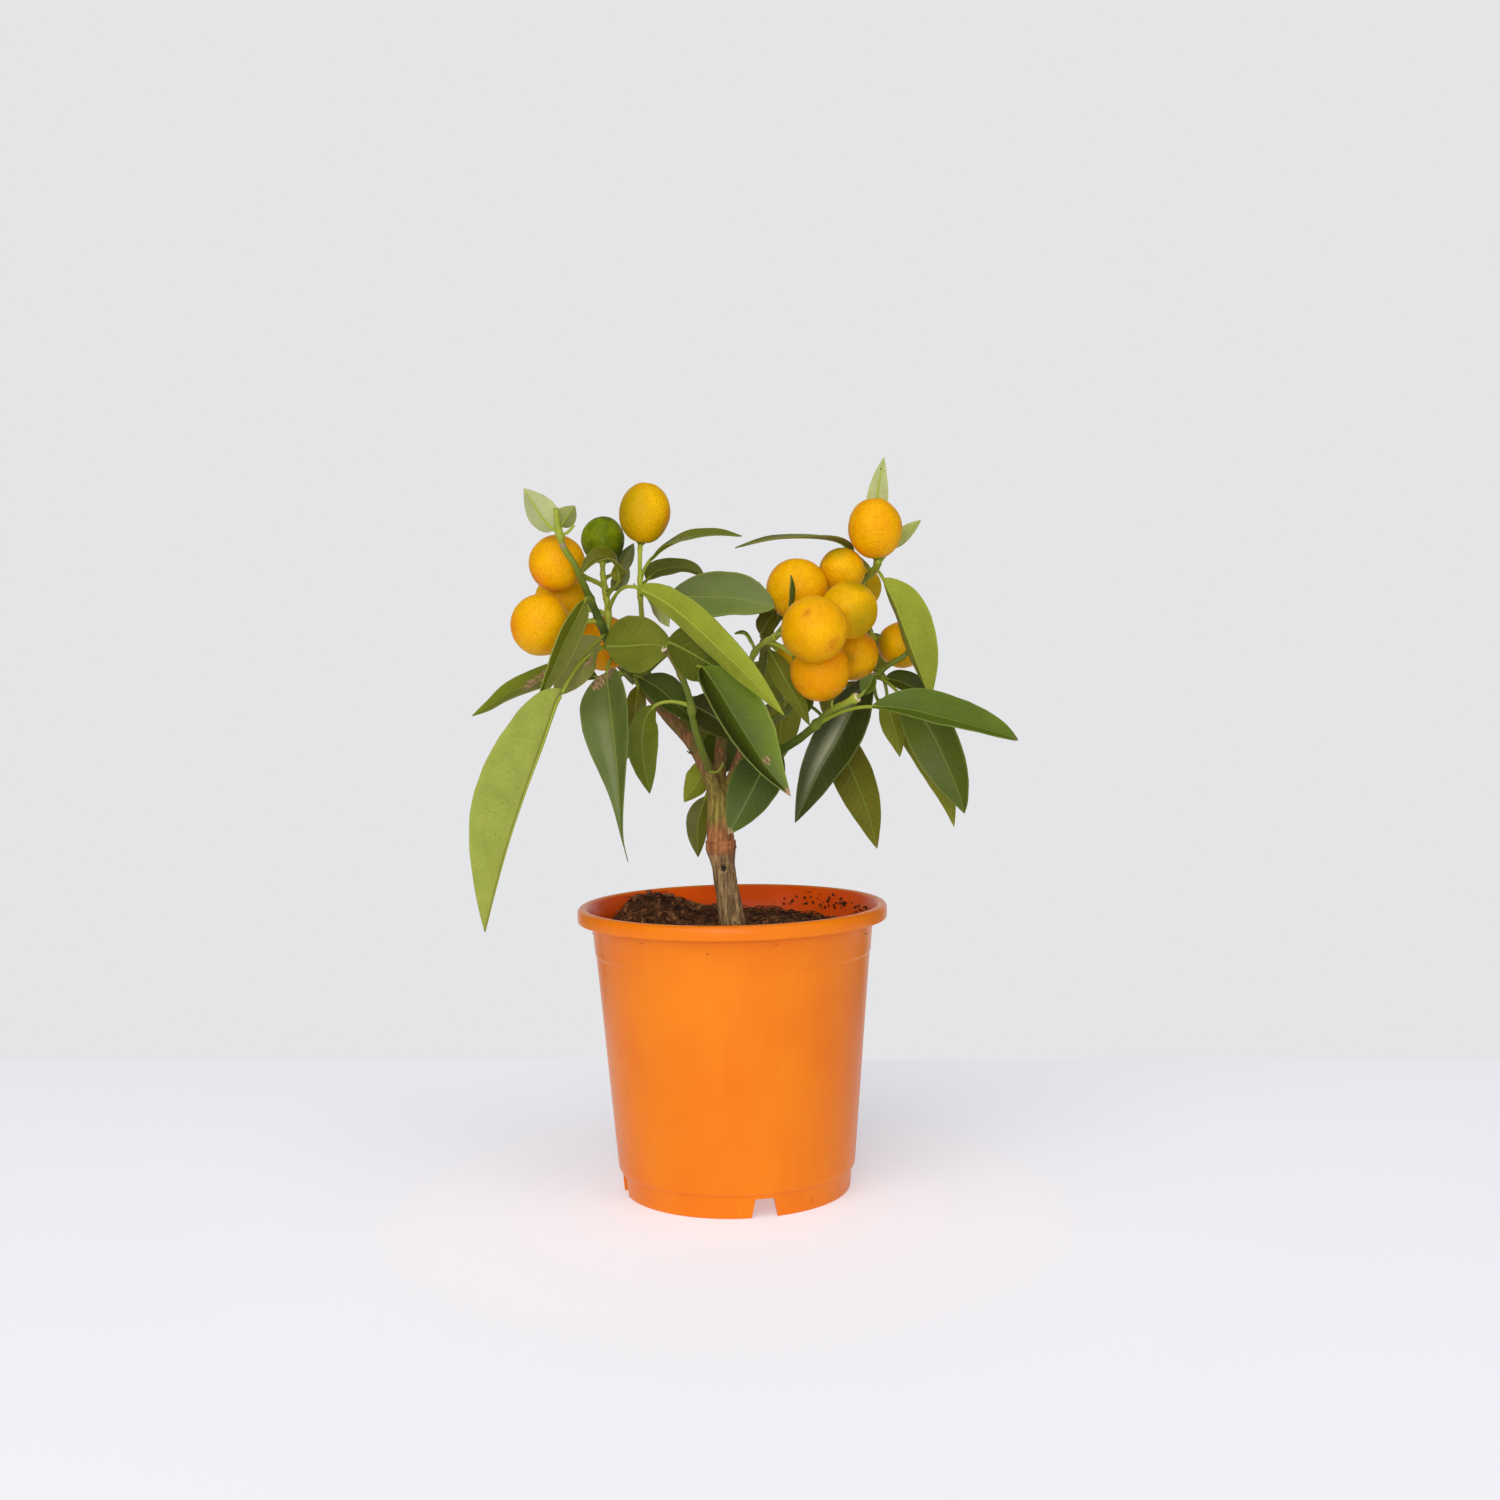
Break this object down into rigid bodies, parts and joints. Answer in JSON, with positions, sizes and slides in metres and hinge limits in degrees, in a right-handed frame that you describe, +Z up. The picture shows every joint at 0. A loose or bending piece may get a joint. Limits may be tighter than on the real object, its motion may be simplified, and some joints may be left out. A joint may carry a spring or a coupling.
{
  "type": "potted kumquat tree",
  "caption": "Small grafted kumquat tree with long pointed leaves and round orange fruit, growing in an orange plastic nursery pot with a rolled rim and a notched foot.",
  "frame": {"origin": "centre of the pot's foot, on the surface it stands on", "axes": "+Z up along the pot, -Y towards the side that the picture shows, +X to its right"},
  "size_m": [0.2259, 0.1556, 0.3066],
  "materials": {
    "pot": "satin",
    "soil": "matte",
    "bark": "matte",
    "foliage": "satin",
    "fruit": "satin",
    "unripe_fruit": "satin"
  },
  "bodies": {
    "root": {"back_centre_shoot": "foliage", "back_left_shoot": "foliage", "back_right_shoot": "foliage", "front_shoot": "foliage", "fruit_01": "fruit", "fruit_02": "unripe_fruit", "fruit_03": "fruit", "fruit_04": "fruit", "fruit_05": "fruit", "fruit_06": "fruit", "fruit_07": "fruit", "fruit_08": "fruit", "fruit_09": "fruit", "fruit_10": "fruit", "fruit_11": "fruit", "fruit_12": "fruit", "fruit_13": "fruit", "fruit_14": "fruit", "fruit_15": "fruit", "fruit_16": "fruit", "fruit_17": "fruit", "fruit_18": "fruit", "left_shoot": "foliage", "low_shoot": "foliage", "pot": "pot", "right_low_shoot": "foliage", "right_mid_shoot": "foliage", "right_top_shoot": "foliage", "soil": "soil", "top_shoot": "foliage", "trunk": "bark"}
  },
  "joints": []
}
